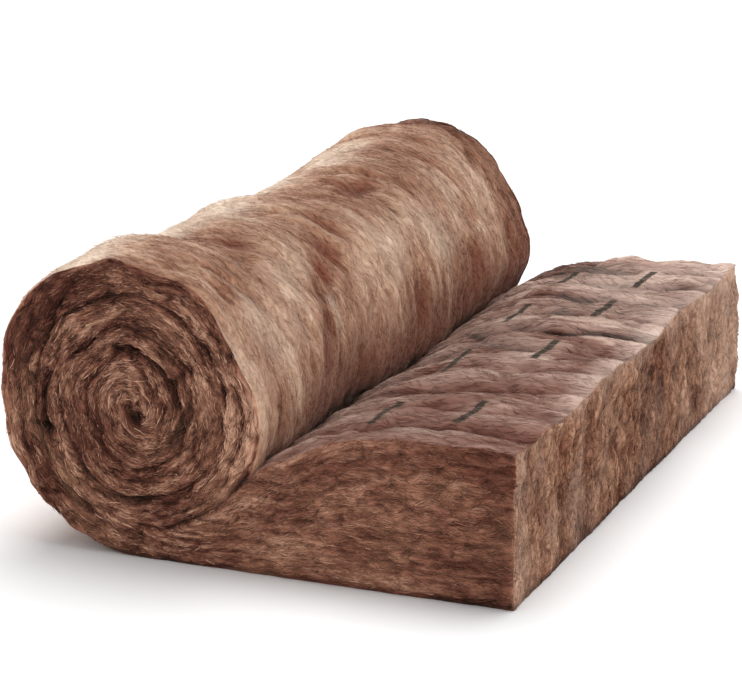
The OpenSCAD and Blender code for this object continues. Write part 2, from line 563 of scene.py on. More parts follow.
wander = 0.016 * field(long=0.16, wide=0.5, shift=76) + 0.006 * field(long=0.05, wide=0.2, shift=77)
to_fold = np.full(len(point), FAR)
for i in range(FOLD_COUNT):
    fold_y = (i - (FOLD_COUNT - 1) / 2) * FOLD_SPACING
    to_fold = np.minimum(to_fold, np.abs(y + wander - fold_y))
fold_depth = FOLD_DEPTH * np.clip(0.95 + 0.5 * field(long=0.18, wide=0.30, shift=78), 0.35, 1.25)
fold_depth *= 0.35 + 0.65 * smooth_step(x, FOLD_START - 0.03, FOLD_START + 0.09)
wrinkle_depth = 0.005 + 0.003 * smooth_step(y, -0.3, 0.3)
top_push = 0.002 * locks + 0.005 * pillows - fold_depth * crease(to_fold, FOLD_REACH)
top_push -= wrinkle_depth * crease(wrinkles, 0.16) + 0.005 * crease(folds, 0.10)
print("deepest fold", round(fold_depth[on(INNER)].max() * 1000, 1), "mm")

# %% Printed marks, with calmer wool under them
# Each row: its place along the flap, and the places of its marks across the width
MARK_ROWS = ((0.140, (-0.425, -0.130, 0.156, 0.426)), (0.271, (-0.420, -0.082, 0.222, 0.455)))
MARK_LENGTH = 0.126
MARK_CALM = 0.80
TOP_RISE = 0.004

marked = np.zeros(len(point))
for row_x, mark_places in MARK_ROWS:
    beside = fade(np.abs(x - row_x), 0.012, 0.035)
    for mark_y in mark_places:
        within = fade(np.abs(y - mark_y), MARK_LENGTH / 2, MARK_LENGTH / 2 + 0.025)
        marked = np.maximum(marked, beside * within)
top_push *= 1 - MARK_CALM * marked
push[on(INNER)] = (top_push + TOP_RISE)[on(INNER)]
print("top of the flap from", round(push[on(INNER)].min() * 1000, 1), "mm")

# %% Dents in the round of the roll
# Each dent: its place along the axis, its angle, its length round the roll, its width and its depth
DENTS_ON_ROLL = (
    (-0.095, 61, 0.040, 0.022, 0.014),
    (-0.160, 52, 0.040, 0.025, 0.017),
    (-0.230, 45, 0.034, 0.028, 0.016),
    (-0.295, 38, 0.026, 0.036, 0.009),
    (-0.310, 24, 0.036, 0.022, 0.013),
    (-0.340, 9, 0.048, 0.026, 0.013),
    (-0.346, 77, 0.030, 0.036, 0.008),
    (-0.531, 57, 0.036, 0.024, 0.008),
    (0.118, 76, 0.026, 0.045, 0.011),
    (0.060, 6, 0.050, 0.024, 0.009),
    (0.160, 5, 0.045, 0.020, 0.006),
    (0.308, 6, 0.045, 0.026, 0.006),
    (0.400, 4, 0.040, 0.020, 0.006),
)
DENT_PUSH = 1.15
# How much darker and redder each dent is painted, as painted shade in its fold
DENT_PAINTED_SHADE = 110
ROLL_MIDDLE = quarter_centre(2) / 2 + quarter_centre(0) / 2

angle_seen = np.degrees(np.arctan2(z - ROLL_MIDDLE.z, x - ROLL_MIDDLE.x))
stain_and_painted_light = np.zeros(len(point))
for dent_y, dent_angle, long, wide, depth in DENTS_ON_ROLL:
    round_roll = np.radians(angle_seen - dent_angle) * ROLL_RADIUS
    dent_profile = depth * crease(round_roll, long) * crease(y - dent_y, wide) * on(OUTER)
    push -= DENT_PUSH * dent_profile
    # Each dent is painted darker and redder, as painted shade in its fold
    stain_and_painted_light += DENT_PAINTED_SHADE * dent_profile
print(len(DENTS_ON_ROLL), "dents")

# %% The long crease across the flap
LONG_CREASE_PLACE = (0.26, 0.045)
LONG_CREASE_SLOPE = 0.19
LONG_CREASE_FROM = 0.09
LONG_CREASE_REACH = 0.010
LONG_CREASE_DEPTH = 0.010

to_crease = y - LONG_CREASE_PLACE[1] - LONG_CREASE_SLOPE * (x - LONG_CREASE_PLACE[0])
to_crease += 0.012 * field(long=0.05, wide=0.4, shift=90)
past_start = smooth_step(x, LONG_CREASE_FROM, LONG_CREASE_FROM + 0.08) * on(INNER)
long_crease = crease(to_crease, LONG_CREASE_REACH) * past_start
push -= LONG_CREASE_DEPTH * long_crease
print("long crease on", int((long_crease > 0.5).sum()), "points")

# %% Drawn-in rims, the peak on the near one, the swollen shoulder and the heel
HEEL_ANGLE = 212
HEEL_HEIGHT = 0.006
RIM_FOLLOWS = 0.045

near_rim = fade(y, FRONT, FRONT + 0.07)
near_body = fade(y, FRONT, FRONT + 0.22)
far_body = smooth_step(y, 0.20, 0.56)
# Each swelling: the stretch of the roll that has it, its height, its angle and how many degrees it reaches
swellings = (
    (near_rim, 0.013, 99, 5), (near_rim, 0.007, 132, 18), (near_body, -0.012, 35, 20),
    (far_body, 0.009, -2, 13), (far_body, -0.013, 37, 17), (far_body, 0.005, 90, 12),
)
grow = np.zeros(len(point))
for stretch, height, middle_angle, reach in swellings:
    grow += height * stretch * crease(angle_seen - middle_angle, reach)

shoulder = smooth_step(angle_seen, 75, 118) * fade(angle_seen, 150, 178)
bulge = 0.007 * fade(y, 0.0, 0.10) + 0.012 * crease(y + 0.47, 0.09) + 0.012 * crease(y + 0.07, 0.075)
grow += bulge * shoulder
from_heel = (angle_seen - HEEL_ANGLE + 180) % 360 - 180
grow += HEEL_HEIGHT * crease(from_heel, 22) * fade(y, FRONT, FRONT + 0.35)

from_rim = np.where(outermost | (point_quarter == INNER_QUARTER), across, FAR)
follows = np.where(on(OUTER), 1.0, fade(from_rim, 0.0, RIM_FOLLOWS) * on(ROLL_END))
radial = np.stack([x - ROLL_MIDDLE.x, 0 * y, z - ROLL_MIDDLE.z], axis=1)
radial /= np.linalg.norm(radial, axis=1, keepdims=True)
print("roll grows by", round(grow.min() * 1000, 1), "to", round(grow.max() * 1000, 1), "mm")

# %% The crushed eye
EYE_HOLLOW = (-0.187, 0.211)
EYE_HOLLOW_DEPTH = 0.024
TENT = (-0.199, 0.290)
TENT_HEIGHT = 0.020

from_eye = np.hypot(x - EYE.x, z - EYE.z)
at_front = on(ROLL_END) & (y < 0)
crushed = fade(from_eye, 0.10, 0.19) * on(ROLL_END)
warp = 0.018 * vectors(size=0.11, shift=7.7) * crushed[:, None]
warp += 0.005 * vectors(size=0.05, shift=2.2) * on(ROLL_END)[:, None]
warp[:, 2] += TENT_HEIGHT * crease(np.hypot(x - TENT[0], z - TENT[1]), 0.045) * at_front
warp[:, 1] = 0
end_x, end_z = x + warp[:, 0], z + warp[:, 2]
hole = EYE_HOLLOW_DEPTH * crease(np.hypot(end_x - EYE_HOLLOW[0], end_z - EYE_HOLLOW[1]), 0.010)
print("eye warped by up to", round(np.abs(warp).max() * 1000, 1), "mm")

# %% Crevices in the front end
# Each crevice: its half width, its depth and its corners in X and Z
CREVICES = (
    (0.0055, 0.024, ((-0.216, 0.313), (-0.199, 0.318), (-0.169, 0.307), (-0.140, 0.285), (-0.121, 0.257),
                     (-0.111, 0.230), (-0.113, 0.202), (-0.134, 0.176))),
    (0.0045, 0.016, ((-0.194, 0.308), (-0.176, 0.292), (-0.169, 0.266), (-0.163, 0.240))),
    (0.0065, 0.020, ((-0.324, 0.265), (-0.339, 0.231), (-0.337, 0.202), (-0.323, 0.181))),
    (0.0055, 0.016, ((-0.025, 0.279), (-0.018, 0.239), (-0.019, 0.198), (-0.035, 0.167))),
    (0.0045, 0.012, ((-0.278, 0.114), (-0.244, 0.096), (-0.202, 0.090), (-0.160, 0.098))),
    (0.0050, 0.016, ((-0.257, 0.320), (-0.267, 0.306), (-0.284, 0.295))),
    (0.0050, 0.017, ((-0.283, 0.396), (-0.300, 0.374), (-0.324, 0.338))),
    (0.0050, 0.020, ((-0.350, 0.184), (-0.326, 0.182))),
)


def line_distance(corners):
    """How far each point lies from a line of corners, in the plane of the end."""
    nearest = np.full(len(point), FAR)
    for start, stop in zip(corners[:-1], corners[1:]):
        run = np.subtract(stop, start)
        from_x, from_z = end_x - start[0], end_z - start[1]
        share = np.clip((from_x * run[0] + from_z * run[1]) / (run @ run), 0, 1)
        nearest = np.minimum(nearest, np.hypot(from_x - share * run[0], from_z - share * run[1]))
    return nearest


ragged = 0.003 * field(long=0.03, wide=0.02, shift=46)
for half_width, depth, corners in CREVICES:
    hole += depth * crease(line_distance(corners) + ragged, half_width) * at_front
push -= hole * on(ROLL_END)
print(len(CREVICES), "crevices, pushed in by up to", round(-push.min() * 1000, 1), "mm")

# %% [markdown]
# ## Reddish wool, with painted highlights and painted shade
# The wool isn't one colour: it has reddish patches and pale streaks of its own. Light and shade are also
# painted into it: a painted highlight along the edge that faces the light, painted shade in the dents,
# beside the crease and under the roll, and painted highlights on the ridges of the flap. Each such place is
# a mask, worked out from where a point lies. One list then says how far each mask tints the wool, and a
# second how much it shades it.

# %% Masks on the roll
near_crease = np.hypot(x - CREASE_X, z - CREASE_Z)
near_end = fade(y, FRONT, FRONT + 0.24)
# Painted shade at the far rim of the roll, where its surface turns away from the light
far_edge = y + 0.03 * field(long=0.06, wide=0.3, shift=95)
painted_shade_far_rim = smooth_step(far_edge, BACK - 0.15, BACK - 0.01) * on(OUTER)
# Painted shade on the roll near its crease with the flap, weaker towards the near end
painted_crease_shade = (1.0 - 0.5 * near_end) * fade(near_crease, 0.05, 0.20) * on(OUTER)
# Painted light: a paler band round the right side of the roll, weaker near the middle of its length
painted_light_band = crease(angle_seen - 42, 20) * (1 - 0.9 * crease(y + 0.14, 0.16)) * on(OUTER)
# Painted shade on the low right side of the roll, above the flap, fading towards the near end
painted_shade_low_side = fade(angle_seen, -18, 24) * smooth_step(y, -0.62, -0.36) * on(OUTER) * (x > ROLL_X)
# Painted shade on the lower left side of the roll, down to the floor
painted_shade_low_back = (x < ROLL_X) * fade(z, 0.12, 0.24) * on(OUTER)
# Painted shade: the top of the roll is painted a little darker and redder
painted_shade_top = crease(angle_seen - 85, 28) * on(OUTER)

# Painted highlight: a cream band along the upper left of the roll, where the low light from behind grazes it
lit_from = 88 - 12 * crease(y + 0.20, 0.13) - 12 * crease(y - 0.27, 0.10)
lit_from += 6 * field(long=0.08, wide=0.05, shift=97)
lit_until = 118 + 5 * field(long=0.10, wide=0.05, shift=98)
painted_highlight_edge = smooth_step(angle_seen, lit_from, lit_from + 36) * fade(angle_seen, lit_until, lit_until + 20)
painted_highlight_edge *= fade(y, 0.28, 0.50) * on(OUTER)
print("lit edge on", int((painted_highlight_edge > 0.5).sum()), "points")

# %% Masks on the ends
dark_ring = fade(from_rim, 0.012, 0.034) * smooth_step(angle_seen, -10, 40) * at_front
golden = crease(np.hypot(end_x + 0.205, end_z - 0.300), 0.075) * at_front
pale_streak = crease(np.hypot(x + 0.320 - 0.6 * (0.122 - z), (z - 0.122) / 5), 0.012) * at_front
# Painted light on the outer turns at the right of each end, where the light falls
painted_light_end_side = crease(angle_seen, 40) * crease(from_eye - 0.17, 0.035) * on(ROLL_END)
round_eye = fade(from_eye, 0.04, 0.10) * on(ROLL_END)
upper_side = crease(across / LOFT - 0.88, 0.07) * smooth_step(x, -0.05, 0.10) * on(FLAP_SIDE)
flap_body = smooth_step(x, -0.22, 0.0) * on(FLAP_SIDE)
print("dark ring on", int((dark_ring > 0.5).sum()), "points")

# %% Masks on the flap's top and cut end
# Painted shade on the flap's top where it meets the roll
painted_shade_beside_roll = fade(x, CREASE_X, CREASE_X + 0.07) * on(INNER)
near_strip = crease(y + 0.535, 0.030) * smooth_step(x, 0.14, 0.22) * fade(x, 0.33, 0.38) * on(INNER)
# Painted highlight along the flap's top at its cut edge, which the light from behind grazes
painted_highlight_cut_edge = smooth_step(x, 0.345, 0.395) * smooth_step(y, -0.5, -0.35) * on(INNER)
painted_highlight_cut_edge *= 0.9 - 0.5 * smooth_step(y, 0.0, 0.4)
# Painted shade on the near part of the flap's top
painted_shade_near_top = fade(y, -0.55, -0.15) * on(INNER)
# Painted light on the far part of the flap's top, where the light from behind reaches past the roll
painted_light_far_top = smooth_step(y, -0.05, 0.45) * smooth_step(x, 0.08, 0.22) * on(INNER)
# Painted shade on the flap's top beside the far part of the roll
painted_shade_far_corner = smooth_step(y, 0.1, 0.4) * fade(x, 0.10, 0.20) * on(INNER)
# Painted highlight on the ridge beside the long crease
painted_highlight_ridge = crease(to_crease - 0.030, 0.018) * past_start
near_cut = crease(y + 0.57, 0.030) * on(CUT)
# Painted light on the far part of the cut end
painted_light_far_cut = smooth_step(y, 0.15, 0.55) * on(CUT)
# Painted highlight along the top of the cut end, which the light from behind grazes
painted_highlight_cut_top = smooth_step(z, 0.185, 0.222) * smooth_step(y, -0.50, -0.30) * on(CUT)
print("bleached far top on", int((painted_light_far_top > 0.5).sum()), "points")

# %% Tints
STAIN_MIDDLE = -0.05
patches = field(long=0.12, wide=0.07, shift=100)
# Reddish wool and painted shade have a tint above nought, bleached wool and painted light one below
for tinted, where in (
        # Painted shade: far rim, crease, low side, lower back and top of the roll, beside the roll and the
        # flap's near part. Painted light: the band round the roll's side, its upper left edge, the flap's
        # far top, cut edge and ridge, the far and top of the cut
        (0.40, painted_shade_far_rim), (1.0, painted_crease_shade), (-0.32, painted_light_band), (0.50, painted_shade_low_side), (0.5, painted_shade_low_back), (0.30, painted_shade_top),
        (-1.4, painted_highlight_edge), (0.40, dark_ring), (0.30, golden), (-0.8, pale_streak), (0.75, upper_side),
        (0.5, painted_shade_beside_roll), (-1.0, near_strip), (-1.0, painted_highlight_cut_edge), (0.55, painted_shade_near_top), (-0.68, painted_light_far_top),
        (-0.5, painted_highlight_ridge), (-0.6, near_cut), (-0.6, painted_light_far_cut), (-0.5, painted_highlight_cut_top), (0.40, patches)):
    stain_and_painted_light += tinted * where
stain_and_painted_light += STAIN_MIDDLE
# No reddish tint right in the crease, so that its painted shade stays dark
stain_and_painted_light *= 1 - crease(near_crease, 0.022) * (stain_and_painted_light > 0)
print("stain from", round(stain_and_painted_light.min(), 2), "to", round(stain_and_painted_light.max(), 2))

# %% Shades
hollow = push.copy()
# Painted shade counts as deeper than the wool lies, in metres, and painted light and pale wool as higher
for raised, where in (
        # Painted light in the band round the roll's side; painted shade on its low side and at its far rim
        (0.003, painted_light_band), (-0.006, painted_shade_low_side), (-0.016, painted_shade_far_rim), (-0.004, pillows * on(OUTER)),
        # Painted shade in the crease between roll and flap, and wider on the roll beside it
        (-0.045, crease(near_crease, 0.017) * (on(OUTER) | on(INNER))),
        (-0.020, crease(near_crease, 0.034) * on(OUTER)),
        (0.004, near_end * crease(angle_seen - 5, 18) * on(OUTER)),
        (-0.003, near_end * crease(angle_seen - 36, 16) * on(OUTER)),
        # Painted shade on the top of the roll, stronger towards the far end
        (-0.002, (1 + 2 * smooth_step(y, 0.0, 0.2)) * crease(angle_seen - 72, 22) * on(OUTER)),
        # Painted light on the right of each end
        (0.010, painted_light_end_side), (0.002, golden), (0.004, round_eye),
        (0.003, flap_body), (0.005, fade(x, 0.10, 0.36) * flap_body),
        (-0.001, on(FLAP_SIDE)), (-0.004, smooth_step(x, 0.20, 0.36) * on(FLAP_SIDE)),
        # Painted shade in the long crease and in the flap's far corner beside the roll
        (-0.020, long_crease), (-0.006, painted_shade_far_corner),
        (0.003, fade(y, -0.45, -0.20) * on(CUT)), (-0.003, crease(y, 0.20) * on(CUT)),
        # Painted contact shadow along the bottom of the ends and the cut end, where they meet the floor
        (-0.020, fade(z, 0.002, 0.012) * (on(CUT) | on(FLAP_SIDE) | on(ROLL_END)))):
    hollow += raised * where
contrast = np.where(on(FLAP_SIDE), 1 - 0.45 * smooth_step(x, ROLL_X, 0.0), 1.0)
contrast[on(INNER)] = 0.80 + 0.75 * smooth_step(y, -0.5, 0.4)[on(INNER)]
print("hollow from", round(hollow.min(), 3), "to", round(hollow.max(), 3))

# %% Moving the points
TOP_ROOM = 0.016
ON_FLOOR = 1e-5

normal = mesh_numbers(mesh.vertex_normals, "vector", 3)
near_floor = 0.3 + 0.7 * smooth_step(z, 0.0, 0.07)
drift = normal * push[:, None]
drift += 0.011 * vectors(size=0.24, shift=5.3) + 0.004 * vectors(size=0.08, shift=9.1)
moved = point + drift * near_floor[:, None] + radial * (grow * follows)[:, None] + warp
far_bump = 0.011 * smooth_step(y, 0.05, 0.42) - 0.008 * crease(y + 0.05, 0.22)
moved[:, 2] += far_bump * smooth_step(z, 0.25, 0.42)
proud = moved[:, 2] - cad_high.z
moved[:, 2] = np.where(proud > 0, cad_high.z + TOP_ROOM * np.tanh(proud / TOP_ROOM), moved[:, 2])
lifted = z + (moved[:, 2] - z) * smooth_step(z, 0.0, 0.04)
moved[:, 2] = np.where(z < ON_FLOOR, 0, np.maximum(lifted, 0))
mesh.vertices.foreach_set("co", moved.ravel())
mesh.update()
print("points moved by up to", round(np.linalg.norm(moved - point, axis=1).max() * 1000, 1), "mm")

# %% Soft edges
ROUND_OVER = 0.024
RIM_ROUND = 0.004
SOFT_LEVELS = 10
SMOOTHING = 0.5
SMOOTHING_PASSES = 7

from_ends = np.minimum(y - FRONT, BACK - y)
from_cut = FLAP_END - x
below_top = flap_height(x) - z
edge_near = np.select(
    (on(ROLL_END) & (z > CREASE_Z), on(OUTER), on(INNER), on(CUT), on(FLAP_SIDE) & (x > CREASE_X)),
    (from_rim, from_ends, np.minimum(from_ends, from_cut), np.minimum(from_ends, below_top),
     np.minimum(from_cut, below_top)), FAR)
round_here = np.where(on(ROLL_END) | on(OUTER), RIM_ROUND, ROUND_OVER)
softness = fade(edge_near / round_here, 0.0, 1.0) * smooth_step(z, 0.003, 0.03)
soft_rim = blanket.vertex_groups.new(name="soft_rim")
for level in np.linspace(1 / SOFT_LEVELS, 1.0, SOFT_LEVELS):
    alike = np.abs(softness - level) < 0.5 / SOFT_LEVELS
    soft_rim.add(np.flatnonzero(alike).tolist(), float(level), "REPLACE")
bpy.context.view_layer.objects.active = blanket
smoother = blanket.modifiers.new("soft_edges", "SMOOTH")
smoother.vertex_group = soft_rim.name
smoother.factor = SMOOTHING
smoother.iterations = SMOOTHING_PASSES
bpy.ops.object.modifier_apply(modifier=smoother.name)
blanket.vertex_groups.clear()
bpy.ops.object.shade_smooth()

for title, numbers in (("hollow", hollow), ("stain_and_painted_light", stain_and_painted_light), ("contrast", contrast)):
    mesh.attributes.new(title, "FLOAT", "POINT").data.foreach_set("value", numbers)
print("softened", int((softness > 0.5 / SOFT_LEVELS).sum()), "points along the edges")

# %% [markdown]
# ## The wool's colours
# The outer face of the blanket is dry and pale tan, the inner face is a dull pinkish brown with printed
# cutting marks, and where the wool was cut the fresh fibres are dark and reddish. Part of this is painted
# light: the outer face is paler partly as painted light from above, and the ends are darker partly as
# painted shade. All of them share one node group, which turns the grain coordinates into streaks, clumps,
# fine fibres and thin slits, and each finish colours these in its own way.


# %% The streak group
def new_node(tree, kind, **settings):
    made = tree.nodes.new(kind)
    for name, value in settings.items():
        setattr(made, name, value)
    return made


def calculate(tree, operation, first, second=0.0, clamp=False):
    """The result of a Math node on sockets or numbers."""
    made = new_node(tree, "ShaderNodeMath", operation=operation, use_clamp=clamp)
    for slot, value in enumerate((first, second)):
        if isinstance(value, (int, float)):
            made.inputs[slot].default_value = value
        else:
            tree.links.new(value, made.inputs[slot])
    return made.outputs["Value"]


def open_group(name, sockets):
    """A new node group with given sockets, and the nodes that stand for them inside."""
    tree = bpy.data.node_groups.new(name, "ShaderNodeTree")
    for way, kind, title in sockets:
        tree.interface.new_socket(title, in_out=way, socket_type="NodeSocket" + kind)
    return tree, new_node(tree, "NodeGroupInput"), new_node(tree, "NodeGroupOutput")


NOISE_MIDDLE = 0.5
SLIT_SHARPNESS = 22.0
STREAK_SOCKETS = (
    ("INPUT", "Vector", "Grain"), ("INPUT", "Float", "Length"), ("INPUT", "Float", "Width"),
    ("OUTPUT", "Float", "Streaks"), ("OUTPUT", "Float", "Clumps"), ("OUTPUT", "Float", "Fibres"),
    ("OUTPUT", "Float", "Slits"))
# Each noise pattern: its scale, detail, roughness and distortion
STREAK_PATTERNS = {
    "Streaks": (1.0, 4.0, 0.60, 0.8), "Clumps": (0.25, 3.0, 0.55, 0.5), "Fibres": (2.6, 3.0, 0.65, 1.0),
    "Slits": (0.45, 2.0, 0.50, 0.9)}


def streak_group():
    """Patterns on the grain coordinates, for streaks of a given length and width."""
    tree, inside, outside = open_group("wool_streaks", STREAK_SOCKETS)
    size = new_node(tree, "ShaderNodeCombineXYZ")
    tree.links.new(inside.outputs["Length"], size.inputs["X"])
    tree.links.new(inside.outputs["Width"], size.inputs["Y"])
    size.inputs["Z"].default_value = 1.0
    shrunk = new_node(tree, "ShaderNodeVectorMath", operation="DIVIDE")
    tree.links.new(inside.outputs["Grain"], shrunk.inputs[0])
    tree.links.new(size.outputs["Vector"], shrunk.inputs[1])
    for title, settings in STREAK_PATTERNS.items():
        pattern = new_node(tree, "ShaderNodeTexNoise")
        for setting, value in zip(("Scale", "Detail", "Roughness", "Distortion"), settings):
            pattern.inputs[setting].default_value = value
        tree.links.new(shrunk.outputs["Vector"], pattern.inputs["Vector"])
        result = pattern.outputs["Fac"]
        if title == "Slits":
            off_line = calculate(tree, "ABSOLUTE", calculate(tree, "SUBTRACT", result, NOISE_MIDDLE))
            widened = calculate(tree, "MULTIPLY", off_line, SLIT_SHARPNESS)
            result = calculate(tree, "SUBTRACT", 1.0, widened, clamp=True)
        tree.links.new(result, outside.inputs[title])
    return tree


STREAKS = streak_group()
print("shared group", STREAKS.name, "with", len(STREAKS.nodes), "nodes")

# %% The printed cutting marks
MARK_WIDTH = 0.015
MARK_BLEED = 0.006
MARK_SHARPNESS = 400.0


def mark_group():
    """A mask that is one on each mark, with edges that bleed along the fibres."""
    tree, inside, outside = open_group(
        "cutting_marks", (("INPUT", "Float", "Ragged"), ("OUTPUT", "Float", "Ink")))
    here = new_node(tree, "ShaderNodeTexCoord")
    axes = new_node(tree, "ShaderNodeSeparateXYZ")
    tree.links.new(here.outputs["Object"], axes.inputs["Vector"])
    ragged = calculate(tree, "SUBTRACT", inside.outputs["Ragged"], NOISE_MIDDLE)
    bleed = calculate(tree, "MULTIPLY", ragged, MARK_BLEED)

    def within(axis, middles, size):
        nearest = None
        for middle in middles:
            off = calculate(tree, "ABSOLUTE", calculate(tree, "SUBTRACT", axes.outputs[axis], middle))
            nearest = off if nearest is None else calculate(tree, "MINIMUM", nearest, off)
        inner_gap = calculate(tree, "SUBTRACT", size / 2, calculate(tree, "ADD", nearest, bleed))
        return calculate(tree, "MULTIPLY", inner_gap, MARK_SHARPNESS, clamp=True)

    rows = []
    for row_x, mark_places in MARK_ROWS:
        in_row = within("X", (row_x,), MARK_WIDTH)
        rows.append(calculate(tree, "MULTIPLY", in_row, within("Y", mark_places, MARK_LENGTH)))
    tree.links.new(calculate(tree, "MAXIMUM", rows[0], rows[1]), outside.inputs["Ink"])
    return tree


MARKS = mark_group()
print("shared group", MARKS.name, "with", sum(len(row[1]) for row in MARK_ROWS), "marks")

# %% Colours from streaks
SCREEN_WHITE = 255
MIX_AMOUNT, MIX_BASE, MIX_ADDED, MIX_RESULT = 0, 6, 7, 2
RAMP_MIDDLE = 0.5


def linear(*screen):
    """A colour given as it looks on screen, from 0 to 255, made linear."""
    share = [c / SCREEN_WHITE for c in screen]
    return [c / 12.92 if c < 0.04045 else ((c + 0.055) / 1.055) ** 2.4 for c in share] + [1.0]


def tint(tree, amount, base, colour):
    """Mixes a colour into a base by an amount, and returns the result."""
    mix = new_node(tree, "ShaderNodeMix", data_type="RGBA", clamp_factor=True)
    tree.links.new(amount, mix.inputs[MIX_AMOUNT])
    tree.links.new(base, mix.inputs[MIX_BASE])
    mix.inputs[MIX_ADDED].default_value = linear(*colour)
    return mix.outputs[MIX_RESULT]


def weigh(tree, streaks, weights, hollow_value, contrast_value):
    """One height for colour and relief, from the hollows with their painted shade and light, and the
    weighted patterns of the streaks.
    """
    total = calculate(tree, "MULTIPLY", hollow_value, weights["hollow"])
    for title in ("Streaks", "Clumps", "Fibres"):
        off_middle = calculate(tree, "SUBTRACT", streaks.outputs[title], NOISE_MIDDLE)
        weighted = calculate(tree, "MULTIPLY", off_middle, weights[title.lower()])
        total = calculate(tree, "ADD", total, weighted)
    slit = calculate(tree, "MULTIPLY", streaks.outputs["Slits"], weights["slits"])
    total = calculate(tree, "SUBTRACT", total, slit)
    return calculate(tree, "ADD", calculate(tree, "MULTIPLY", total, contrast_value), RAMP_MIDDLE)


def shade_ramp(tree, height, shades):
    """The colour for a height, from the darkest shade to the palest."""
    ramp = new_node(tree, "ShaderNodeValToRGB")
    stops = ramp.color_ramp.elements
    while len(stops) < len(shades):
        stops.new(RAMP_MIDDLE)
    for stop, (place, colour) in zip(stops, shades):
        stop.position = place
        stop.color = linear(*colour)
    tree.links.new(height, ramp.inputs["Fac"])
    return ramp.outputs["Color"]


print("linear mid grey", round(linear(128, 128, 128)[0], 3))

# %% A wool finish
INK = (50, 46, 38)
INK_COVER = 0.93
RUST_AND_SHADE_SHARE, CREAM_AND_LIGHT_SHARE = 0.62, 0.55
WOOL_SETTINGS = {
    "Roughness": 0.95, "Specular IOR Level": 0.15, "Sheen Roughness": 0.5,
    "Sheen Tint": (1.0, 0.80, 0.66, 1)}
BUMP_STRENGTH = 0.9
BUMP_HEIGHT = 0.004


def wool_finish(name, length, width, shades, weights, rust_and_painted_shade, cream_and_painted_light, sheen, marked=False):
    """Wool with streaks of a given size, coloured from its dark hollows to its pale fibres, with painted
    shade and light mixed in.
    """
    material = bpy.data.materials.new(name)
    material.use_nodes = True
    tree = material.node_tree
    shader = tree.nodes["Principled BSDF"]
    for setting, value in WOOL_SETTINGS.items():
        shader.inputs[setting].default_value = value
    shader.inputs["Sheen Weight"].default_value = sheen
    grain_in, hollow_in, stain_and_light_in, contrast_in = (
        new_node(tree, "ShaderNodeAttribute", attribute_name=kept)
        for kept in ("grain", "hollow", "stain_and_painted_light", "contrast"))
    streaks = new_node(tree, "ShaderNodeGroup", node_tree=STREAKS)
    streaks.inputs["Length"].default_value = length
    streaks.inputs["Width"].default_value = width
    tree.links.new(grain_in.outputs["Vector"], streaks.inputs["Grain"])

    height = weigh(tree, streaks, weights, hollow_in.outputs["Fac"], contrast_in.outputs["Fac"])
    colour = shade_ramp(tree, height, shades)
    # Stain above nought mixes in the rust colour, for reddish wool and painted shade; below nought the cream
    # colour, for bleached wool and painted highlights
    reddish_and_painted_shade = calculate(tree, "MULTIPLY", stain_and_light_in.outputs["Fac"], RUST_AND_SHADE_SHARE, clamp=True)
    bleached_and_painted_light = calculate(tree, "MULTIPLY", stain_and_light_in.outputs["Fac"], -CREAM_AND_LIGHT_SHARE, clamp=True)
    colour = tint(tree, bleached_and_painted_light, tint(tree, reddish_and_painted_shade, colour, rust_and_painted_shade), cream_and_painted_light)
    if marked:
        marks = new_node(tree, "ShaderNodeGroup", node_tree=MARKS)
        tree.links.new(streaks.outputs["Fibres"], marks.inputs["Ragged"])
        colour = tint(tree, calculate(tree, "MULTIPLY", marks.outputs["Ink"], INK_COVER), colour, INK)
    tree.links.new(colour, shader.inputs["Base Color"])
    bump = new_node(tree, "ShaderNodeBump")
    bump.inputs["Strength"].default_value = BUMP_STRENGTH
    bump.inputs["Distance"].default_value = BUMP_HEIGHT
    tree.links.new(height, bump.inputs["Height"])
    tree.links.new(bump.outputs["Normal"], shader.inputs["Normal"])
    return material


print("relief of every finish", BUMP_HEIGHT * 1000, "mm")

# %% A finish for each region
SOFT = {"hollow": 18.0, "streaks": 0.85, "clumps": 0.85, "fibres": 0.30, "slits": 0.10}
RUMPLED = {"hollow": 34.0, "streaks": 0.72, "clumps": 1.30, "fibres": 0.22, "slits": 0.10}
MILD = {"hollow": 22.0, "streaks": 0.85, "clumps": 0.80, "fibres": 0.30, "slits": 0.22}
HARSH = {"hollow": 26.0, "streaks": 1.00, "clumps": 0.80, "fibres": 0.40, "slits": 0.26}
# Each list of shades: the height and the colour of each stop
# The outer shades are paler partly as painted light from above, and the end shades darker partly as painted
# shade
OUTER_SHADES = (
    (0.0, (56, 28, 18)), (0.12, (100, 58, 40)), (0.34, (140, 98, 76)), (0.56, (168, 131, 107)),
    (0.85, (208, 178, 154)))
INNER_SHADES = (
    (0.0, (44, 24, 20)), (0.12, (80, 46, 38)), (0.36, (118, 82, 71)), (0.58, (144, 110, 98)),
    (0.88, (192, 164, 150)))
END_SHADES = ((0.06, (36, 14, 8)), (0.32, (88, 48, 37)), (0.56, (131, 87, 69)), (0.90, (194, 152, 127)))
CUT_SHADES = ((0.06, (58, 28, 18)), (0.32, (104, 66, 49)), (0.56, (142, 101, 78)), (0.90, (196, 158, 130)))

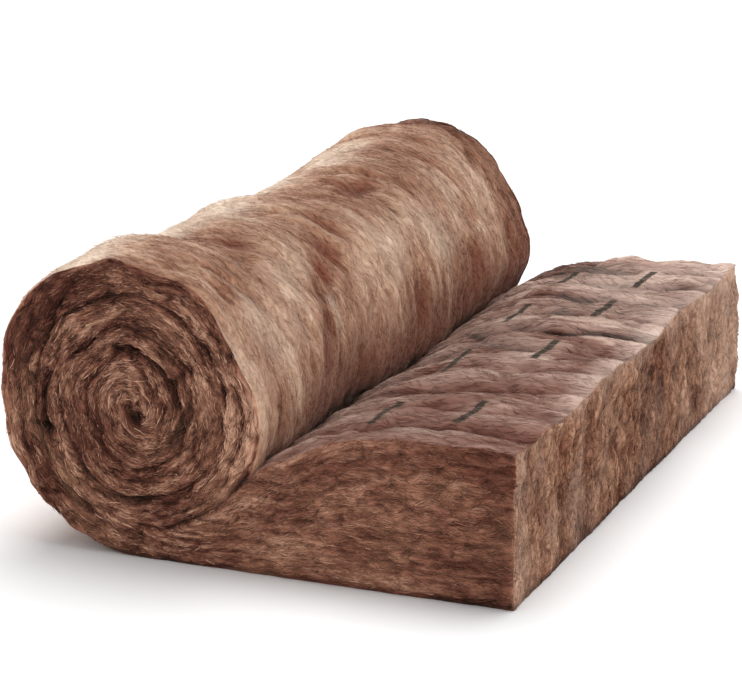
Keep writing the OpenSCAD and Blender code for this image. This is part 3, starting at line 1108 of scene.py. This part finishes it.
FINISHES = {
    OUTER: wool_finish("outer_wool", length=0.026, width=0.008, shades=OUTER_SHADES, weights=SOFT,
                       rust_and_painted_shade=(112, 60, 44), cream_and_painted_light=(219, 201, 183), sheen=0.20),
    INNER: wool_finish("inner_wool", length=0.050, width=0.012, shades=INNER_SHADES, weights=RUMPLED,
                       rust_and_painted_shade=(112, 66, 56), cream_and_painted_light=(214, 190, 177), sheen=0.15, marked=True),
    ROLL_END: wool_finish("end_wool", length=0.026, width=0.0052, shades=END_SHADES, weights=HARSH,
                          rust_and_painted_shade=(90, 46, 34), cream_and_painted_light=(176, 132, 104), sheen=0.05),
    CUT: wool_finish("cut_wool", length=0.017, width=0.009, shades=CUT_SHADES, weights=MILD,
                     rust_and_painted_shade=(118, 66, 46), cream_and_painted_light=(200, 168, 148), sheen=0.05),
}
FINISHES[FLAP_SIDE] = FINISHES[ROLL_END]
FINISHES[UNDER] = FINISHES[ROLL_END]
for kind in range(len(REGION_NAMES)):
    mesh.materials.append(FINISHES[kind])
mesh.polygons.foreach_set("material_index", region)
mesh.update()
print("finishes:", [finish.name for finish in mesh.materials])

# %% [markdown]
# ## Loose fibres
# Close up, wool is a felt of fibres, and no bump can show them against the light. Thin spindles with three
# sides are laid over the blanket, thousands to a mesh. Each starts at a random place, turns a little off the
# grain with its neighbours, hugs the surface and may lift its tip. It takes the colours of the wool it lies
# on, some shades lighter or darker. This is done with arrays, because there are too many for a modifier to
# copy one by one.

# %% Where fibres may start
RIM_MARGIN = 0.006
FLOOR_MARGIN = 0.003

sculpted = places(blanket)
point_normal = mesh_numbers(mesh.vertex_normals, "vector", 3)
point_looks = np.stack([hollow, stain_and_painted_light, contrast, painted_highlight_edge], axis=1)
mesh.calc_loop_triangles()
tri_points = mesh_numbers(mesh.loop_triangles, "vertices", 3, int)
tri_corners = mesh_numbers(mesh.loop_triangles, "loops", 3, int)
tri_face = mesh_numbers(mesh.loop_triangles, "polygon_index", kind=int)
tri_region = region[tri_face]
edge_a = sculpted[tri_points[:, 1]] - sculpted[tri_points[:, 0]]
edge_b = sculpted[tri_points[:, 2]] - sculpted[tri_points[:, 0]]
tri_area = np.linalg.norm(np.cross(edge_a, edge_b), axis=1) / 2
off_the_rim = (from_rim[tri_points].min(axis=1) > RIM_MARGIN) | (tri_region != ROLL_END)
off_the_rim &= sculpted[tri_points][:, :, 2].mean(axis=1) > FLOOR_MARGIN
surface = BVHTree.FromPolygons(sculpted.tolist(), tri_points.tolist())
print("area in square metres:", {
    name: round(tri_area[tri_region == kind].sum(), 3) for kind, name in enumerate(REGION_NAMES)})

# %% Which way they lie
SLOPE_STEP = 0.005
SHORTEST = 1e-9


def unit(rows):
    return rows / np.maximum(np.linalg.norm(rows, axis=-1, keepdims=True), SHORTEST)


def grain_direction(spot, up, kind, which):
    """The way the fibres lie at places on the blanket."""
    lie = np.cross(up, (0, 1, 0))
    for k in range(ALL_QUARTERS):
        here = (kind == ROLL_END) & (which == k)
        centre = quarter_centre(k)
        lie[here] = np.stack(
            [centre.z - spot[here, 2], 0 * spot[here, 0], spot[here, 0] - centre.x], axis=1)
    side = kind == FLAP_SIDE
    side_x, side_z = spot[side, 0], spot[side, 2]
    slope = (flap_height(side_x + SLOPE_STEP) - flap_height(side_x - SLOPE_STEP)) / (2 * SLOPE_STEP)
    rise = np.clip(slope, 0, 1) * side_z / flap_height(side_x)
    lie[side] = np.stack([np.ones(len(rise)), np.zeros(len(rise)), rise], axis=1)
    lie -= up * np.sum(lie * up, axis=1, keepdims=True)
    return unit(lie)


# %% A mesh of spindles
RING = np.radians((90, 210, 330))
SIDES = len(RING)
CELL_EDGE = 0.2


def stop_of_points(stops):
    """For each point of a spindle, the stop of its path that it belongs to."""
    return np.concatenate([[0], np.repeat(np.arange(1, stops - 1), SIDES), [stops - 1]])


def spindle_faces(rings):
    """The faces of a spindle: a point, some rings and another point."""
    last_ring = 1 + SIDES * (rings - 1)
    last_point = 1 + SIDES * rings
    faces = []
    for j in range(SIDES):
        after = (j + 1) % SIDES
        faces.append((0, 1 + after, 1 + j))
        for r in range(rings - 1):
            here, above = 1 + SIDES * r, 1 + SIDES * (r + 1)
            faces.append((here + j, here + after, above + after, above + j))
        faces.append((last_point, last_ring + j, last_ring + after))
    return faces


def spindle_mesh(name, path, side, up, width):
    """One mesh of closed spindles along given paths, each with a bake cell of its own."""
    count, stops = path.shape[:2]
    rings = stops - 2
    ring = np.cos(RING)[:, None] * side[:, None] + np.sin(RING)[:, None] * up[:, None]
    swell = path[:, 1:-1, None] + width[:, None, None, None] / 2 * ring[:, None]
    points = np.concatenate([path[:, :1], swell.reshape(count, rings * SIDES, 3), path[:, -1:]], axis=1)
    each = points.shape[1]
    faces = spindle_faces(rings)
    pattern = np.concatenate([np.array(face) for face in faces])
    sizes = np.tile([len(face) for face in faces], count)
    made = bpy.data.meshes.new(name)
    made.vertices.add(count * each)
    made.vertices.foreach_set("co", points.ravel())
    corners = (pattern + each * np.arange(count)[:, None]).ravel()
    made.loops.add(len(corners))
    made.loops.foreach_set("vertex_index", corners)
    made.polygons.add(len(sizes))
    made.polygons.foreach_set("loop_start", np.concatenate([[0], np.cumsum(sizes)[:-1]]))
    made.update(calc_edges=True)

    cells = math.ceil(math.sqrt(count))
    run = stop_of_points(stops) / (stops - 1)
    rise = np.concatenate([[0.5], np.tile((0.0, 0.5, 1.0), rings), [0.5]])
    cell = np.stack([np.arange(count) % cells, np.arange(count) // cells], axis=1)
    spot = CELL_EDGE + (1 - 2 * CELL_EDGE) * np.stack([run, rise], axis=1)[pattern]
    layout = (cell[:, None] + spot[None]) / cells
    made.uv_layers.new(name="OFBake").uv.foreach_set("vector", layout.reshape(-1, 2).ravel())
    return made, each, len(faces)


print("a spindle with one ring has", len(spindle_faces(1)), "faces, with two", len(spindle_faces(2)))


# %% Starting, seating and adding fibres
def start_fibres(dice, count, kinds, where):
    """Random starts on some regions: the triangle of each, and the shares of its three points."""
    weight = tri_area * np.array([kinds.get(kind, 0) for kind in range(len(REGION_NAMES))])[tri_region]
    weight *= where
    pick = dice.choice(len(weight), count, p=weight / weight.sum())
    return pick, dice.dirichlet((1, 1, 1), count)[:, :, None]


def seat_on_wool(path, raised):
    """Paths drawn onto the blanket, and raised from it by given heights."""
    seat = np.empty((path.shape[0] * path.shape[1], 3))
    facing = np.empty_like(seat)
    for i, place in enumerate(path.reshape(-1, 3).tolist()):
        seat[i], facing[i], _, _ = surface.find_nearest(place)
    return seat.reshape(path.shape) + raised[:, :, None] * facing.reshape(path.shape)


def add_piece(made, kinds, face_kind):
    """Adds a mesh of fibres to the roll, with the finishes of the wool that they lie on."""
    used = sorted(kinds)
    for kind in used:
        made.materials.append(FINISHES[kind])
    made.polygons.foreach_set("material_index", np.searchsorted(used, face_kind))
    made.polygons.foreach_set("use_smooth", np.ones(len(made.polygons), bool))
    made.update()
    piece = bpy.data.objects.new(made.name, made)
    bpy.context.collection.objects.link(piece)
    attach(piece, "root")
    wool_pieces.objects.link(piece)


# %% Laying fibres
# How a fibre turns: with its neighbours, by itself, and to one side on the round of the roll
SWIRL_SIZE = 0.035
SWIRL_SHARE, STRAY_SHARE = 0.7, 0.6
OUTER_LEAN = 0.15
# How it lies: its seat in shares of its width, its root, its tip, which the lit edge lifts, and the floor
SEAT = 0.35
ROOT_DEPTH = 0.0015
HIGHEST_TIP = 0.010
LIT_FLUFF = 2
FLOOR_GAP = 0.0003
# How its colour differs from the wool under it
PALER = 0.25
HUE_SPREAD = 0.12


def lay_fibres(name, count, stops, kinds, where, length, width, turn, curl, lift, spread, seed):
    """A piece of fibres on some regions, with lengths and widths drawn between two limits."""
    dice = np.random.default_rng(seed)
    pick, share = start_fibres(dice, count, kinds, where)
    kind = tri_region[pick]
    spot = (sculpted[tri_points[pick]] * share).sum(axis=1)
    up = unit((point_normal[tri_points[pick]] * share).sum(axis=1))
    tone, hue, bold, lit = (point_looks[tri_points[pick]] * share).sum(axis=1).T
    straight = grain_direction(spot, up, kind, quarter[tri_face[pick]])
    beside = np.cross(up, straight)

    swirl = np.array([noise.noise(p) for p in (spot / SWIRL_SIZE + seed).tolist()]) * NOISE_GAIN
    angle = turn * (SWIRL_SHARE * swirl + STRAY_SHARE * dice.normal(size=count))
    angle += np.where(kind == OUTER, OUTER_LEAN, 0)
    ahead, aside = np.cos(angle)[:, None], np.sin(angle)[:, None]
    lie = ahead * straight + aside * beside
    side = ahead * beside - aside * straight
    run = np.linspace(-0.5, 0.5, stops)
    reach = dice.uniform(*length, count)
    bow = dice.normal(0, curl, count) * reach
    thick = dice.uniform(*width, count)
    path = spot[:, None] + reach[:, None, None] * run[None, :, None] * lie[:, None]
    path += (bow[:, None] * (0.25 - run ** 2)[None])[:, :, None] * side[:, None]
    tip = np.minimum(np.abs(dice.normal(0, 1, count)) * lift * (1 + LIT_FLUFF * lit), HIGHEST_TIP)
    raised = (run + 0.5) ** 2 * tip[:, None] + SEAT * thick[:, None]
    raised[:, 0] = -ROOT_DEPTH
    path = seat_on_wool(path, raised)
    path[:, :, 2] = np.maximum(path[:, :, 2], thick[:, None] / 2 + FLOOR_GAP)

    made, each, faces = spindle_mesh(name, path, side, up, thick)
    offset = reach[:, None] * run[stop_of_points(stops)][None]
    fibre_grain = np.repeat((grain[tri_corners[pick]] * share).sum(axis=1)[:, None], each, axis=1)
    fibre_grain[:, :, 0] += offset * ahead
    fibre_grain[:, :, 1] += offset * aside
    made.attributes.new("grain", "FLOAT_VECTOR", "POINT").data.foreach_set("vector", fibre_grain.ravel())
    tone += spread * dice.normal(PALER, 1, count)
    hue += HUE_SPREAD * dice.normal(0, 1, count)
    for title, numbers in (("hollow", tone), ("stain_and_painted_light", hue), ("contrast", bold)):
        made.attributes.new(title, "FLOAT", "POINT").data.foreach_set("value", np.repeat(numbers, each))
    add_piece(made, kinds, np.repeat(kind, faces))
    made.calc_loop_triangles()
    print(name, count, "fibres,", len(made.loop_triangles), "triangles")


# %% Fibres on the round of the roll, the flap's top and the cut end
lay_fibres("roll_fibres", 33000, 3, {OUTER: 1}, off_the_rim, length=(0.010, 0.030), width=(0.0005, 0.0013),
           turn=0.75, curl=0.4, lift=0.0014, spread=0.0034, seed=11)
lay_fibres("flap_fibres", 8000, 4, {INNER: 1}, off_the_rim, length=(0.014, 0.034), width=(0.0006, 0.0012),
           turn=0.50, curl=0.3, lift=0.0010, spread=0.0024, seed=12)
lay_fibres("cut_fibres", 8000, 4, {CUT: 1}, off_the_rim, length=(0.010, 0.026), width=(0.0006, 0.0013),
           turn=1.1, curl=0.5, lift=0.0018, spread=0.0036, seed=17)

# %% Fibres and tufts on both ends
for name, first_seed, is_front in (("front", 13, True), ("back", 15, False)):
    this_end = off_the_rim & ((cy < 0) == is_front)[tri_face]
    lay_fibres(name + "_fibres", 24000, 3, {ROLL_END: 1, FLAP_SIDE: 0.9}, this_end,
               length=(0.010, 0.026), width=(0.0006, 0.0013),
               turn=0.5, curl=0.3, lift=0.0015, spread=0.0040, seed=first_seed)
    lay_fibres(name + "_tufts", 4000, 4, {ROLL_END: 1, FLAP_SIDE: 0.4}, this_end,
               length=(0.014, 0.040), width=(0.0014, 0.0028),
               turn=0.4, curl=0.4, lift=0.002, spread=0.0045, seed=first_seed + 1)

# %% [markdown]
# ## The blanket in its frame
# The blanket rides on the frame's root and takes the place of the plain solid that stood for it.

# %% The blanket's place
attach(blanket, "root")
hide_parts("wool_blanket")
wool_pieces.objects.link(blanket)
